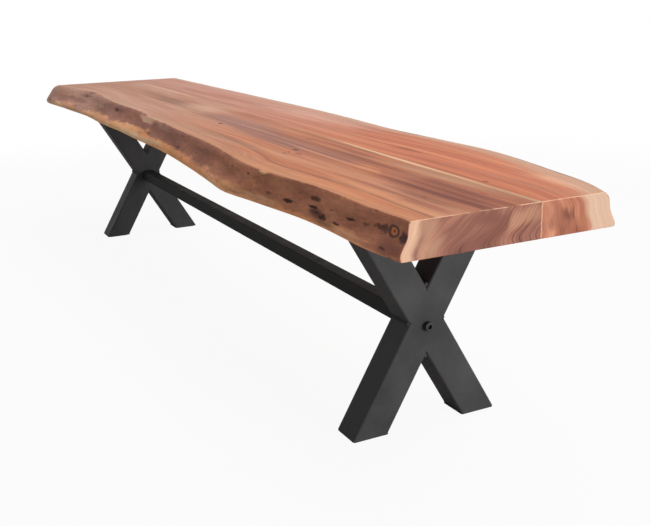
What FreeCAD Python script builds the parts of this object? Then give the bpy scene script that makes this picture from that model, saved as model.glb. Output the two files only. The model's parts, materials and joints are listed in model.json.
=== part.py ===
import FreeCAD, Part
import math
import os
import re
import Sketcher

# Live-edge bench: a solid timber top glued from two planks, carried by two welded
# X frames of square steel tube that a tube stretcher ties together at their crossings.
# X runs along the bench, the visible natural edge faces -Y, Z is up, and the floor is Z = 0.

doc = FreeCAD.newDocument("live_edge_bench")
sheet = doc.addObject("Spreadsheet::Sheet", "Sizes")

# Driving sizes in millimetres and degrees: name, value, what it is
drivingSizes = [
    ("benchLength", "2235.2", "length of the timber top"),
    ("benchHeight", "457.2", "floor to the seat"),
    ("slabHalfDepth", "240", "half of the depth over both natural edges"),
    ("slabThickness", "54", "thickness of the timber top"),
    ("glueOffsetLeft", "102", "glue line from the middle plane, at the left end"),
    ("glueOffsetRight", "24", "glue line from the middle plane, at the right end"),
    ("frameInset", "276.8", "end of the top to the outer face of a frame"),
    ("frameOffset", "18", "frames stand this far behind the middle plane, under the slab's weight"),
    ("crossingHeight", "196", "floor to the middle of a crossing"),
    ("stretcherHeight", "188", "floor to the middle of the stretcher and of its two bolts"),
    ("legAngle", "30.3", "lean of each leg from upright, in degrees"),
    ("tubeSide", "60", "square tube of the frames, outside"),
    ("tubeWall", "2.5", "wall of the frame tube"),
    ("tubeCorner", "4", "outer corner radius of the frame tube"),
    ("stretcherSide", "30", "square tube of the stretcher, outside"),
    ("stretcherWall", "2", "wall of the stretcher tube"),
    ("stretcherCorner", "2.5", "outer corner radius of the stretcher tube"),
    ("endPlateThickness", "5", "plate welded into each end of the stretcher"),
    ("weldLeg", "6", "side of the weld bead in each notch of a crossing"),
    ("topPlateWidth", "120", "mounting plate, along the bench"),
    ("topPlateLength", "316", "mounting plate, across the bench"),
    ("topPlateThickness", "5", "mounting plate"),
    ("plateHoleAlong", "45", "slot from the plate's middle, along the bench"),
    ("plateHoleAcross", "120", "slot from the plate's middle, across the bench"),
    ("slotWidth", "9", "slot for a top bolt"),
    ("slotLength", "15", "slot along the grain's movement, end to end"),
    ("footPlateThickness", "3", "plate that closes the foot of a tube"),
    ("glideThickness", "2", "felt glide under a foot"),
    ("glideMargin", "5", "foot plate's rim outside the glide"),
    ("glideCorner", "6", "corner radius of a glide"),
    ("topBoltDiameter", "8", "bolt that holds a mounting plate to the top"),
    ("topBoltGrip", "14", "top bolt's reach into its insert"),
    ("topBoltHeadDiameter", "14", "button head of a top bolt"),
    ("topBoltHeadHeight", "4.4", "button head of a top bolt"),
    ("topBoltHeadRound", "2.6", "rounding of that button head"),
    ("topBoltSocket", "5", "hexagon socket of a top bolt, across flats"),
    ("topBoltSocketDepth", "2.6", "hexagon socket of a top bolt"),
    ("washerDiameter", "22", "washer over a slot, outside"),
    ("washerThickness", "1.6", "washer over a slot"),
    ("insertDiameter", "12.5", "threaded insert in the timber, outside"),
    ("insertLength", "15", "threaded insert in the timber"),
    ("insertHoleSpare", "3", "drilled depth left above an insert"),
    ("fitClearance", "0.1", "radial room of an insert in its hole and a thread in its nut"),
    ("frameBoltDiameter", "10", "bolt through a crossing into the stretcher"),
    ("frameBoltClearance", "0.5", "radial room of that bolt in its holes"),
    ("frameBoltHeadDiameter", "16.5", "cap head of that bolt"),
    ("frameBoltHeadHeight", "9", "cap head of that bolt"),
    ("frameBoltHeadRound", "1.4", "rounding of that cap head"),
    ("frameBoltSocket", "8", "hexagon socket of that bolt, across flats"),
    ("frameBoltSocketDepth", "5", "hexagon socket of that bolt"),
    ("frameBoltSpare", "2", "thread that shows past the nut"),
    ("sleeveDiameter", "20", "spacer sleeve inside a crossing, outside"),
    ("nutSize", "17", "weld nut in the stretcher, across flats"),
    ("nutThickness", "8", "weld nut in the stretcher"),
    ("cutOverrun", "10", "every cutting tool runs this far past what it cuts"),
]
for row, (alias, number, meaning) in enumerate(drivingSizes, start=1):
    sheet.set(f"A{row}", meaning)
    sheet.set(f"B{row}", number)
    sheet.setAlias(f"B{row}", alias)
doc.recompute()

# Natural outline, as shares of half the length and half the depth. Each row is a station along
# the bench: place, then front edge at the seat, front edge below, rear edge at the seat, rear
# below, and how late the front profile swells out on its way down (1 is the usual profile).
outlineShares = [
    (-1.00, -0.712, -0.882, 0.985, 0.995, 0.50),
    (-0.94, -0.655, -0.888, 0.988, 0.998, 0.60),
    (-0.86, -0.600, -0.866, 0.990, 1.000, 0.85),
    (-0.69, -0.525, -0.824, 0.985, 0.998, 1.00),
    (-0.56, -0.575, -0.797, 0.985, 0.995, 1.00),
    (-0.44, -0.613, -0.820, 0.990, 1.000, 1.00),
    (-0.29, -0.605, -0.808, 0.985, 0.996, 1.00),
    (-0.20, -0.615, -0.812, 0.985, 0.996, 1.00),
    (-0.11, -0.660, -0.822, 0.983, 0.996, 1.00),
    (0.02, -0.688, -0.817, 0.978, 0.994, 1.00),
    (0.12, -0.720, -0.834, 0.962, 0.986, 1.00),
    (0.27, -0.745, -0.889, 0.920, 0.955, 1.00),
    (0.38, -0.785, -0.938, 0.897, 0.937, 1.00),
    (0.45, -0.823, -0.975, 0.905, 0.944, 1.00),
    (0.51, -0.862, -1.000, 0.912, 0.952, 1.00),
    (0.57, -0.874, -0.966, 0.920, 0.960, 1.00),
    (0.65, -0.858, -0.920, 0.925, 0.967, 1.00),
    (0.73, -0.817, -0.880, 0.885, 0.932, 1.00),
    (0.86, -0.807, -0.878, 0.772, 0.835, 1.10),
    (0.94, -0.810, -0.890, 0.690, 0.764, 1.35),
    (1.00, -0.803, -0.862, 0.575, 0.672, 1.30),
]
frontSeatColumn, frontFootColumn, rearSeatColumn, rearFootColumn, swellColumn = range(1, 6)

# Profile of a natural edge, as shares: down from the seat, and out from the upper to the lower edge
frontProfileShares = [(0.0, 0.0), (0.30, 0.28), (0.58, 0.62), (0.86, 1.0), (1.0, 0.92)]
rearProfileShares = [(0.0, 0.0), (0.36, 0.48), (0.64, 0.70), (0.92, 1.0), (1.0, 0.96)]

aliases = [alias for alias, number, meaning in drivingSizes]
aliasWord = re.compile(r"\b(" + "|".join(aliases) + r")\b")

# Places that several pieces share, written in the sheet's names
tubeFloor = "(glideThickness + footPlateThickness)"
plateUnderside = "(benchHeight - slabThickness - topPlateThickness)"
slabUnderside = "(benchHeight - slabThickness)"
frameMiddle = "(benchLength / 2 - frameInset - tubeSide / 2)"
frameOuterFace = "(benchLength / 2 - frameInset)"
frameInnerFace = "(benchLength / 2 - frameInset - tubeSide)"
legHalf = "(tubeSide / 2 / cos(legAngle))"
legHalfInside = "((tubeSide / 2 - tubeWall) / cos(legAngle))"
frameBoltHole = "(frameBoltDiameter / 2 + frameBoltClearance)"
footReach = f"((crossingHeight - {tubeFloor}) * tan(legAngle))"
insertHoleRadius = "(insertDiameter / 2 + fitClearance)"


def bound(text):
    # an expression over the sheet's cells
    return aliasWord.sub(r"Sizes.\1", text)


def number(text):
    value = sheet.evalExpression(bound(text))
    return float(getattr(value, "Value", value))


def bind(item, path, text):
    item.setExpression(path, bound(text))


pieces = []


def piece(item, label):
    item.Label = label
    pieces.append(item)
    return item


def newBody(label):
    return piece(doc.addObject("PartDesign::Body", "body_" + label), label)


def newSketch(body, plane):
    sketch = body.newObject("Sketcher::SketchObject", "sketch")
    support = [item for item in body.Origin.OriginFeatures if item.Role == plane][0]
    sketch.AttachmentSupport = [(support, "")]
    sketch.MapMode = "FlatFace"
    return sketch


def pin(sketch, geometry, point, axis, text):
    # ties one point of the sketch to a distance from the sketch's origin
    rule = Sketcher.Constraint("Distance" + axis, -1, 1, geometry, point, number(text))
    index = sketch.addConstraint(rule)
    bind(sketch, f"Constraints[{index}]", text)


def drawPolygon(sketch, corners):
    spots = [FreeCAD.Vector(number(across), number(up), 0) for across, up in corners]
    first = sketch.GeometryCount
    count = len(corners)
    for step in range(count):
        sketch.addGeometry(Part.LineSegment(spots[step], spots[(step + 1) % count]))
    for step, (across, up) in enumerate(corners):
        following = first + (step + 1) % count
        sketch.addConstraint(Sketcher.Constraint("Coincident", first + step, 2, following, 1))
        pin(sketch, first + step, 1, "X", across)
        pin(sketch, first + step, 1, "Y", up)


def drawCircle(sketch, across, up, radius):
    middle = FreeCAD.Vector(number(across), number(up), 0)
    circle = Part.Circle(middle, FreeCAD.Vector(0, 0, 1), number(radius))
    index = sketch.addGeometry(circle)
    pin(sketch, index, 3, "X", across)
    pin(sketch, index, 3, "Y", up)
    rule = sketch.addConstraint(Sketcher.Constraint("Radius", index, number(radius)))
    bind(sketch, f"Constraints[{rule}]", radius)


def drawSlot(sketch, across, up, width, length):
    # a slot along the sketch's second axis: two half rounds joined by two straight sides
    radius = number(width) / 2
    reach = (number(length) - number(width)) / 2
    x, y = number(across), number(up)
    normal = FreeCAD.Vector(0, 0, 1)
    far = Part.Circle(FreeCAD.Vector(x, y + reach, 0), normal, radius)
    near = Part.Circle(FreeCAD.Vector(x, y - reach, 0), normal, radius)
    farArc = sketch.addGeometry(Part.ArcOfCircle(far, 0, math.pi))
    nearArc = sketch.addGeometry(Part.ArcOfCircle(near, math.pi, 2 * math.pi))
    right = [FreeCAD.Vector(x + radius, y - reach, 0), FreeCAD.Vector(x + radius, y + reach, 0)]
    left = [FreeCAD.Vector(x - radius, y + reach, 0), FreeCAD.Vector(x - radius, y - reach, 0)]
    rightSide = sketch.addGeometry(Part.LineSegment(*right))
    leftSide = sketch.addGeometry(Part.LineSegment(*left))
    sketch.addConstraint(Sketcher.Constraint("Tangent", farArc, 1, rightSide, 2))
    sketch.addConstraint(Sketcher.Constraint("Tangent", farArc, 2, leftSide, 1))
    sketch.addConstraint(Sketcher.Constraint("Tangent", nearArc, 1, leftSide, 2))
    sketch.addConstraint(Sketcher.Constraint("Tangent", nearArc, 2, rightSide, 1))
    sketch.addConstraint(Sketcher.Constraint("Equal", farArc, nearArc))
    rule = sketch.addConstraint(Sketcher.Constraint("Radius", farArc, radius))
    bind(sketch, f"Constraints[{rule}]", f"{width} / 2")
    pin(sketch, farArc, 3, "X", across)
    pin(sketch, farArc, 3, "Y", f"{up} + ({length} - {width}) / 2")
    pin(sketch, nearArc, 3, "X", across)
    pin(sketch, nearArc, 3, "Y", f"{up} - ({length} - {width}) / 2")


def hexagon(across, up, flats):
    # corners of a hexagon from its size across flats
    corners = []
    for turn in range(30, 390, 60):
        corners.append((f"{across} + {flats} / sqrt(3) * cos({turn})",
                        f"{up} + {flats} / sqrt(3) * sin({turn})"))
    return corners


def addPad(body, sketch, length, symmetric=False, reverse=False):
    pad = body.newObject("PartDesign::Pad", "pad")
    pad.Profile = sketch
    pad.SideType = "Symmetric" if symmetric else "One side"
    pad.Reversed = reverse
    bind(pad, "Length", length)
    doc.recompute()
    return pad


def addPocket(body, sketch, length, symmetric=False, reverse=False):
    # a pocket has to take material away, so the volume is compared
    before = body.Shape.Volume
    pocket = body.newObject("PartDesign::Pocket", "pocket")
    pocket.Profile = sketch
    pocket.SideType = "Symmetric" if symmetric else "One side"
    pocket.Reversed = reverse
    bind(pocket, "Length", length)
    doc.recompute()
    if not body.Shape.Volume < before:
        raise RuntimeError(f"{body.Label}: a pocket cuts nothing")
    return pocket


def edgesAlong(feature, direction):
    # names of the straight edges that run along a direction
    names = []
    for index, edge in enumerate(feature.Shape.Edges, start=1):
        if isinstance(edge.Curve, Part.Line):
            if edge.tangentAt(edge.FirstParameter).cross(direction).Length < 1e-6:
                names.append(f"Edge{index}")
    return names


def circularEdges(feature, radius, axis, highest):
    # names of the full circles of one radius at the far end of an axis
    found = []
    for index, edge in enumerate(feature.Shape.Edges, start=1):
        if isinstance(edge.Curve, Part.Circle) and abs(edge.Curve.Radius - radius) < 1e-6:
            found.append((edge.Curve.Center.dot(axis), f"Edge{index}"))
    limit = max(found)[0] if highest else min(found)[0]
    return [name for place, name in found if abs(place - limit) < 1e-6]


def addFillet(body, feature, edges, radius):
    fillet = body.newObject("PartDesign::Fillet", "fillet")
    fillet.Base = (feature, edges)
    bind(fillet, "Radius", radius)
    doc.recompute()
    return fillet


def place(item, across, along, up, turned=False):
    # across runs along the bench, along is its depth
    axis = FreeCAD.Vector(0, 0, 1)
    item.Placement = FreeCAD.Placement(FreeCAD.Vector(0, 0, 0), FreeCAD.Rotation(axis, 180 if turned else 0))
    bind(item, "Placement.Base.x", across)
    bind(item, "Placement.Base.y", along)
    bind(item, "Placement.Base.z", up)


# Timber top
def smoothEdge(topColumn, footColumn, profileShares, depth):
    # a smooth face through the edge's profile at every station
    halfLength = number("benchLength / 2")
    rows = []
    for shares in outlineShares:
        upper = shares[topColumn] * depth
        lower = shares[footColumn] * depth
        swell = shares[swellColumn] if topColumn == frontSeatColumn else 1
        rows.append([FreeCAD.Vector(shares[0] * halfLength,
                                    upper + out ** swell * (lower - upper),
                                    number("benchHeight") - down * number("slabThickness"))
                     for down, out in profileShares])
    surface = Part.BSplineSurface()
    surface.interpolate(rows)
    return surface.toShape()


def naturalEdge(topColumn, footColumn, profileShares):
    # the smooth face swells a little between its stations, so it is drawn again to reach
    # the slab's half depth exactly
    depth = number("slabHalfDepth")
    trial = smoothEdge(topColumn, footColumn, profileShares, depth)
    box = trial.optimalBoundingBox(False, False)
    reach = max(abs(box.YMin), abs(box.YMax))
    return smoothEdge(topColumn, footColumn, profileShares, depth * depth / reach)


def borderEdge(face, test):
    # the border of a face whose two ends both pass the test
    for edge in face.Edges:
        if all(test(vertex.Point) for vertex in edge.Vertexes):
            return edge
    raise RuntimeError("a natural edge has no such border")


def plankShape(natural):
    # a plank between its natural edge and the straight glue line
    top = number("benchHeight")
    foot = number(slabUnderside)
    half = number("benchLength / 2")
    glue = {-half: number("glueOffsetLeft"), half: number("glueOffsetRight")}
    glueSpot = {(end, height): FreeCAD.Vector(end, glue[end], height)
                for end in (-half, half) for height in (foot, top)}
    near = 1e-6
    level = {height: borderEdge(natural, lambda p, height=height: abs(p.z - height) < near)
             for height in (foot, top)}
    endEdge = {end: borderEdge(natural, lambda p, end=end: abs(p.x - end) < near)
               for end in (-half, half)}
    glueLine = {height: Part.makeLine(glueSpot[-half, height], glueSpot[half, height])
                for height in (foot, top)}
    glueUpright = {end: Part.makeLine(glueSpot[end, foot], glueSpot[end, top])
                   for end in (-half, half)}
    bridge = {}
    for end in (-half, half):
        for height in (foot, top):
            tip = [v.Point for v in level[height].Vertexes if abs(v.X - end) < near][0]
            bridge[end, height] = Part.makeLine(tip, glueSpot[end, height])
    outlines = [[glueLine[foot], glueUpright[half], glueLine[top], glueUpright[-half]]]
    for height in (foot, top):
        outlines.append([level[height], bridge[half, height], glueLine[height], bridge[-half, height]])
    for end in (-half, half):
        outlines.append([endEdge[end], bridge[end, top], glueUpright[end], bridge[end, foot]])
    faces = [natural]
    for edges in outlines:
        faces.append(Part.Face(Part.Wire(Part.__sortEdges__(edges))))
    shell = Part.makeShell(faces)
    shell.sewShape()
    solid = Part.makeSolid(shell)
    if solid.Volume < 0:
        solid.reverse()
    return solid


def insertHole(side, sign, alongSign, acrossSign):
    hole = doc.addObject("Part::Cylinder", f"{side}_insert_hole")
    bind(hole, "Radius", insertHoleRadius)
    bind(hole, "Height", "insertLength + insertHoleSpare + cutOverrun")
    place(hole,
          f"{sign}{frameMiddle} {alongSign} plateHoleAlong",
          f"frameOffset {acrossSign} plateHoleAcross",
          f"{slabUnderside} - cutOverrun")
    return hole


def plank(label, natural, acrossSign):
    blank = doc.addObject("Part::Feature", label + "_blank")
    blank.Shape = plankShape(natural)
    holes = doc.addObject("Part::MultiFuse", label + "_holes")
    holes.Shapes = [insertHole(side, sign, alongSign, acrossSign)
                    for side, sign in (("right", "+"), ("left", "-"))
                    for alongSign in ("+", "-")]
    drilled = doc.addObject("Part::Cut", label + "_drilled")
    drilled.Base = blank
    drilled.Tool = holes
    piece(drilled, label)


frontEdge = naturalEdge(frontSeatColumn, frontFootColumn, frontProfileShares)
rearEdge = naturalEdge(rearSeatColumn, rearFootColumn, rearProfileShares)
plank("front_slab", frontEdge, "-")
plank("rear_slab", rearEdge, "+")


# Welded X frames
def lineAt(height, lean, half, sign):
    # where the side of a leaning tube stands at a height, measured across the bench
    return f"{lean}({height} - crossingHeight) * tan(legAngle) {sign} {half}"


def roundTube(body, pad, lean):
    angle = math.radians(number("legAngle"))
    direction = FreeCAD.Vector(0, math.sin(angle) * lean, math.cos(angle))
    return addFillet(body, pad, edgesAlong(pad, direction), "tubeCorner")


def hollowTube(body, lean, low, high):
    sketch = newSketch(body, "YZ_Plane")
    drawPolygon(sketch, [(lineAt(low, lean, legHalfInside, "-"), low),
                         (lineAt(low, lean, legHalfInside, "+"), low),
                         (lineAt(high, lean, legHalfInside, "+"), high),
                         (lineAt(high, lean, legHalfInside, "-"), high)])
    return addPocket(body, sketch, "tubeSide - 2 * tubeWall", symmetric=True)


def throughLeg(side, sign):
    # one whole tube, from the front foot to the back of the mounting plate
    body = newBody(side + "_through_leg")
    sketch = newSketch(body, "YZ_Plane")
    drawPolygon(sketch, [(lineAt(tubeFloor, "", legHalf, "-"), tubeFloor),
                         (lineAt(tubeFloor, "", legHalf, "+"), tubeFloor),
                         (lineAt(plateUnderside, "", legHalf, "+"), plateUnderside),
                         (lineAt(plateUnderside, "", legHalf, "-"), plateUnderside)])
    pad = addPad(body, sketch, "tubeSide", symmetric=True)
    roundTube(body, pad, 1)
    hollowTube(body, "", f"({tubeFloor} - cutOverrun)", f"({plateUnderside} + cutOverrun)")
    boltHole = newSketch(body, "YZ_Plane")
    drawCircle(boltHole, "0 * tubeSide", "stretcherHeight", frameBoltHole)
    addPocket(body, boltHole, "tubeSide + cutOverrun", symmetric=True)
    place(body, sign + frameMiddle, "frameOffset", "0 * benchHeight")


def halfLeg(side, sign, label, corners, inner):
    # the other diagonal is two tubes, cut to butt against the whole one
    body = newBody(f"{side}_{label}")
    sketch = newSketch(body, "YZ_Plane")
    drawPolygon(sketch, corners)
    pad = addPad(body, sketch, "tubeSide", symmetric=True)
    roundTube(body, pad, -1)
    hollowTube(body, "-", *inner)
    place(body, sign + frameMiddle, "frameOffset", "0 * benchHeight")


def crossingWelds(side, sign):
    # a bead along each of the four notches where the tubes meet
    body = newBody(side + "_crossing_welds")
    sketch = newSketch(body, "YZ_Plane")
    for way in ("", "-"):
        point = f"{way}{legHalf}"
        reach = "weldLeg * sin(legAngle)"
        rise = "weldLeg * cos(legAngle)"
        drawPolygon(sketch, [(point, "crossingHeight"),
                             (f"{point} + {way}{reach}", f"crossingHeight + {rise}"),
                             (f"{point} + {way}{reach}", f"crossingHeight - {rise}")])
        tip = f"crossingHeight + {way}{legHalf} / tan(legAngle)"
        drawPolygon(sketch, [("0 * tubeSide", tip),
                             (reach, f"{tip} + {way}{rise}"),
                             (f"-{reach}", f"{tip} + {way}{rise}")])
    addPad(body, sketch, "tubeSide - 2 * tubeCorner", symmetric=True)
    place(body, sign + frameMiddle, "frameOffset", "0 * benchHeight")


def groundSeams(side, sign):
    # weld metal in the rounded corners of the whole leg beside each cut tube, ground flush
    lean = FreeCAD.Rotation(FreeCAD.Vector(-1, 0, 0), number("legAngle"))
    core = "(tubeSide / 2 - tubeCorner)"
    length = "(tubeSide / sin(2 * legAngle) - 2 * tubeCorner)"
    starts = {"-": "(tubeCorner - tubeSide / 2 * tan(legAngle))",
              "+": f"(tubeSide / 2 * tan(legAngle) - tubeCorner - {length})"}
    barSide = {"-": "(-tubeSide / 2)", "+": core}
    strips = []
    for way, start in starts.items():
        for out in ("-", "+"):
            bar = doc.addObject("Part::Box", side + "_seam_bar")
            bind(bar, "Length", "tubeCorner")
            bind(bar, "Width", "tubeCorner")
            bind(bar, "Height", length)
            corner = doc.addObject("Part::Cylinder", side + "_seam_corner")
            bind(corner, "Radius", "tubeCorner")
            bind(corner, "Height", length)
            for item, along, across in ((bar, barSide[out], barSide[way]),
                                        (corner, f"({out}{core})", f"({way}{core})")):
                item.Placement = FreeCAD.Placement(FreeCAD.Vector(0, 0, 0), lean)
                bind(item, "Placement.Rotation.Angle", "legAngle")
                bind(item, "Placement.Base.x", f"{sign}{frameMiddle} + {along}")
                bind(item, "Placement.Base.y",
                     f"frameOffset + {across} * cos(legAngle) + {start} * sin(legAngle)")
                bind(item, "Placement.Base.z",
                     f"crossingHeight - {across} * sin(legAngle) + {start} * cos(legAngle)")
            strip = doc.addObject("Part::Cut", side + "_seam")
            strip.Base = bar
            strip.Tool = corner
            strips.append(strip)
    seams = doc.addObject("Part::MultiFuse", side + "_seams")
    seams.Shapes = strips
    piece(seams, side + "_ground_seams")


def crossingSleeve(side, sign):
    # keeps the bolt from crushing the tube
    body = newBody(side + "_crossing_sleeve")
    sketch = newSketch(body, "YZ_Plane")
    drawCircle(sketch, "0 * tubeSide", "0 * tubeSide", "sleeveDiameter / 2")
    drawCircle(sketch, "0 * tubeSide", "0 * tubeSide", frameBoltHole)
    addPad(body, sketch, "tubeSide - 2 * tubeWall", symmetric=True)
    place(body, sign + frameMiddle, "frameOffset", "stretcherHeight")


def plateSpots():
    # the four places where a mounting plate is bolted up, in the plate's own middle
    return [(alongSign + "plateHoleAlong", acrossSign + "plateHoleAcross")
            for alongSign in ("", "-") for acrossSign in ("", "-")]


def rectangle(halfAlong, halfAcross):
    return [(f"-{halfAlong}", f"-{halfAcross}"), (halfAlong, f"-{halfAcross}"),
            (halfAlong, halfAcross), (f"-{halfAlong}", halfAcross)]


def topPlate(side, sign):
    body = newBody(side + "_top_plate")
    sketch = newSketch(body, "XY_Plane")
    drawPolygon(sketch, rectangle("topPlateWidth / 2", "topPlateLength / 2"))
    for along, across in plateSpots():
        drawSlot(sketch, along, across, "slotWidth", "slotLength")
    addPad(body, sketch, "topPlateThickness")
    place(body, sign + frameMiddle, "frameOffset", plateUnderside)


def footPlate(side, sign, end, way):
    body = newBody(f"{side}_{end}_foot_plate")
    sketch = newSketch(body, "XY_Plane")
    drawPolygon(sketch, rectangle("tubeSide / 2", legHalf))
    pad = addPad(body, sketch, "footPlateThickness")
    addFillet(body, pad, edgesAlong(pad, FreeCAD.Vector(0, 0, 1)), "tubeCorner")
    place(body, sign + frameMiddle, f"frameOffset {way} {footReach}", "glideThickness")


def footGlide(side, sign, end, way):
    body = newBody(f"{side}_{end}_foot_glide")
    sketch = newSketch(body, "XY_Plane")
    drawPolygon(sketch, rectangle("(tubeSide / 2 - glideMargin)", f"({legHalf} - glideMargin)"))
    pad = addPad(body, sketch, "glideThickness")
    addFillet(body, pad, edgesAlong(pad, FreeCAD.Vector(0, 0, 1)), "glideCorner")
    place(body, sign + frameMiddle, f"frameOffset {way} {footReach}", "0 * benchHeight")


# Fasteners of the top
def topInserts(side, sign):
    # brass inserts that the bolts screw into, flush with the underside of the timber
    body = newBody(side + "_top_inserts")
    sketch = newSketch(body, "XY_Plane")
    for along, across in plateSpots():
        drawCircle(sketch, along, across, "insertDiameter / 2")
        drawCircle(sketch, along, across, "topBoltDiameter / 2 + fitClearance")
    addPad(body, sketch, "insertLength")
    place(body, sign + frameMiddle, "frameOffset", slabUnderside)


def topWashers(side, sign):
    body = newBody(side + "_top_washers")
    sketch = newSketch(body, "XY_Plane")
    for along, across in plateSpots():
        drawCircle(sketch, along, across, "washerDiameter / 2")
        drawCircle(sketch, along, across, "slotWidth / 2")
    addPad(body, sketch, "washerThickness")
    place(body, sign + frameMiddle, "frameOffset", f"{plateUnderside} - washerThickness")


def topBolts(side, sign):
    # button heads under the washers
    body = newBody(side + "_top_bolts")
    shanks = newSketch(body, "XY_Plane")
    heads = newSketch(body, "XY_Plane")
    sockets = newSketch(body, "XY_Plane")
    for along, across in plateSpots():
        drawCircle(shanks, along, across, "topBoltDiameter / 2")
        drawCircle(heads, along, across, "topBoltHeadDiameter / 2")
        drawPolygon(sockets, hexagon(along, across, "topBoltSocket"))
    addPad(body, shanks, "washerThickness + topPlateThickness + topBoltGrip")
    headPad = addPad(body, heads, "topBoltHeadHeight", reverse=True)
    upward = FreeCAD.Vector(0, 0, 1)
    rims = circularEdges(headPad, number("topBoltHeadDiameter / 2"), upward, False)
    addFillet(body, headPad, rims, "topBoltHeadRound")
    bind(sockets, "AttachmentOffset.Base.z", "-topBoltHeadHeight")
    addPocket(body, sockets, "topBoltSocketDepth", reverse=True)
    place(body, sign + frameMiddle, "frameOffset", f"{plateUnderside} - washerThickness")


# Stretcher and the bolts that hold it between the crossings
def stretcherTube():
    body = newBody("stretcher_tube")
    length = f"2 * ({frameInnerFace} - endPlateThickness)"
    sketch = newSketch(body, "YZ_Plane")
    drawPolygon(sketch, rectangle("stretcherSide / 2", "stretcherSide / 2"))
    pad = addPad(body, sketch, length, symmetric=True)
    addFillet(body, pad, edgesAlong(pad, FreeCAD.Vector(1, 0, 0)), "stretcherCorner")
    hollow = newSketch(body, "YZ_Plane")
    inside = "(stretcherSide / 2 - stretcherWall)"
    drawPolygon(hollow, rectangle(inside, inside))
    addPocket(body, hollow, f"{length} + cutOverrun", symmetric=True)
    place(body, "0 * benchLength", "frameOffset", "stretcherHeight")


def stretcherEndPlate(side, sign, turned):
    body = newBody(side + "_stretcher_end_plate")
    sketch = newSketch(body, "YZ_Plane")
    drawPolygon(sketch, rectangle("stretcherSide / 2", "stretcherSide / 2"))
    drawCircle(sketch, "0 * tubeSide", "0 * tubeSide", frameBoltHole)
    pad = addPad(body, sketch, "endPlateThickness", reverse=True)
    addFillet(body, pad, edgesAlong(pad, FreeCAD.Vector(1, 0, 0)), "stretcherCorner")
    place(body, sign + frameInnerFace, "frameOffset", "stretcherHeight", turned)


def stretcherNut(side, sign, turned):
    body = newBody(side + "_stretcher_nut")
    sketch = newSketch(body, "YZ_Plane")
    drawPolygon(sketch, hexagon("0 * nutSize", "0 * nutSize", "nutSize"))
    drawCircle(sketch, "0 * tubeSide", "0 * tubeSide", "frameBoltDiameter / 2 + fitClearance")
    addPad(body, sketch, "nutThickness", reverse=True)
    place(body, f"{sign}({frameInnerFace} - endPlateThickness)", "frameOffset", "stretcherHeight", turned)


def stretcherBolt(side, sign, turned):
    # cap head on the outer face of the crossing, shank through to the nut
    body = newBody(side + "_stretcher_bolt")
    head = newSketch(body, "YZ_Plane")
    drawCircle(head, "0 * tubeSide", "0 * tubeSide", "frameBoltHeadDiameter / 2")
    headPad = addPad(body, head, "frameBoltHeadHeight")
    outward = FreeCAD.Vector(1, 0, 0)
    rims = circularEdges(headPad, number("frameBoltHeadDiameter / 2"), outward, True)
    addFillet(body, headPad, rims, "frameBoltHeadRound")
    shank = newSketch(body, "YZ_Plane")
    drawCircle(shank, "0 * tubeSide", "0 * tubeSide", "frameBoltDiameter / 2")
    addPad(body, shank, "tubeSide + endPlateThickness + nutThickness + frameBoltSpare", reverse=True)
    socket = newSketch(body, "YZ_Plane")
    bind(socket, "AttachmentOffset.Base.z", "frameBoltHeadHeight")
    drawPolygon(socket, hexagon("0 * tubeSide", "0 * tubeSide", "frameBoltSocket"))
    addPocket(body, socket, "frameBoltSocketDepth")
    place(body, sign + frameOuterFace, "frameOffset", "stretcherHeight", turned)


def upperArmCorners():
    return [("-" + legHalf, "crossingHeight"),
            ("0 * tubeSide", f"crossingHeight + {legHalf} / tan(legAngle)"),
            (lineAt(plateUnderside, "-", legHalf, "+"), plateUnderside),
            (lineAt(plateUnderside, "-", legHalf, "-"), plateUnderside)]


def lowerArmCorners():
    return [(legHalf, "crossingHeight"),
            ("0 * tubeSide", f"crossingHeight - {legHalf} / tan(legAngle)"),
            (lineAt(tubeFloor, "-", legHalf, "-"), tubeFloor),
            (lineAt(tubeFloor, "-", legHalf, "+"), tubeFloor)]


for side, sign, turned in (("right", "", False), ("left", "-", True)):
    throughLeg(side, sign)
    halfLeg(side, sign, "upper_arm", upperArmCorners(),
            ("crossingHeight", f"({plateUnderside} + cutOverrun)"))
    halfLeg(side, sign, "lower_arm", lowerArmCorners(),
            (f"({tubeFloor} - cutOverrun)", "crossingHeight"))
    crossingWelds(side, sign)
    groundSeams(side, sign)
    crossingSleeve(side, sign)
    topPlate(side, sign)
    for end, way in (("front", "-"), ("rear", "+")):
        footPlate(side, sign, end, way)
        footGlide(side, sign, end, way)
    topInserts(side, sign)
    topWashers(side, sign)
    topBolts(side, sign)
    stretcherEndPlate(side, sign, turned)
    stretcherNut(side, sign, turned)
    stretcherBolt(side, sign, turned)
stretcherTube()

doc.recompute()
for item in doc.Objects:
    if "Invalid" in item.State or "Error" in item.State:
        raise RuntimeError(f"{item.Label} failed: {item.State}")
for item in pieces:
    if item.Shape.isNull() or not item.Shape.isValid():
        raise RuntimeError(f"{item.Label} has no valid shape")

os.makedirs("parts", exist_ok=True)
for item in pieces:
    item.Shape.exportStep(f"parts/{item.Label}.step")
    solids = len(item.Shape.Solids)
    print(f"{item.Label}: {solids} solid(s), {item.Shape.Volume:.0f} mm3")
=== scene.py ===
import json
import math
from functools import partial
from types import SimpleNamespace

import bmesh
import bpy
import numpy as np
from mathutils import Matrix, Vector, noise
from mathutils.bvhtree import BVHTree


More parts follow.
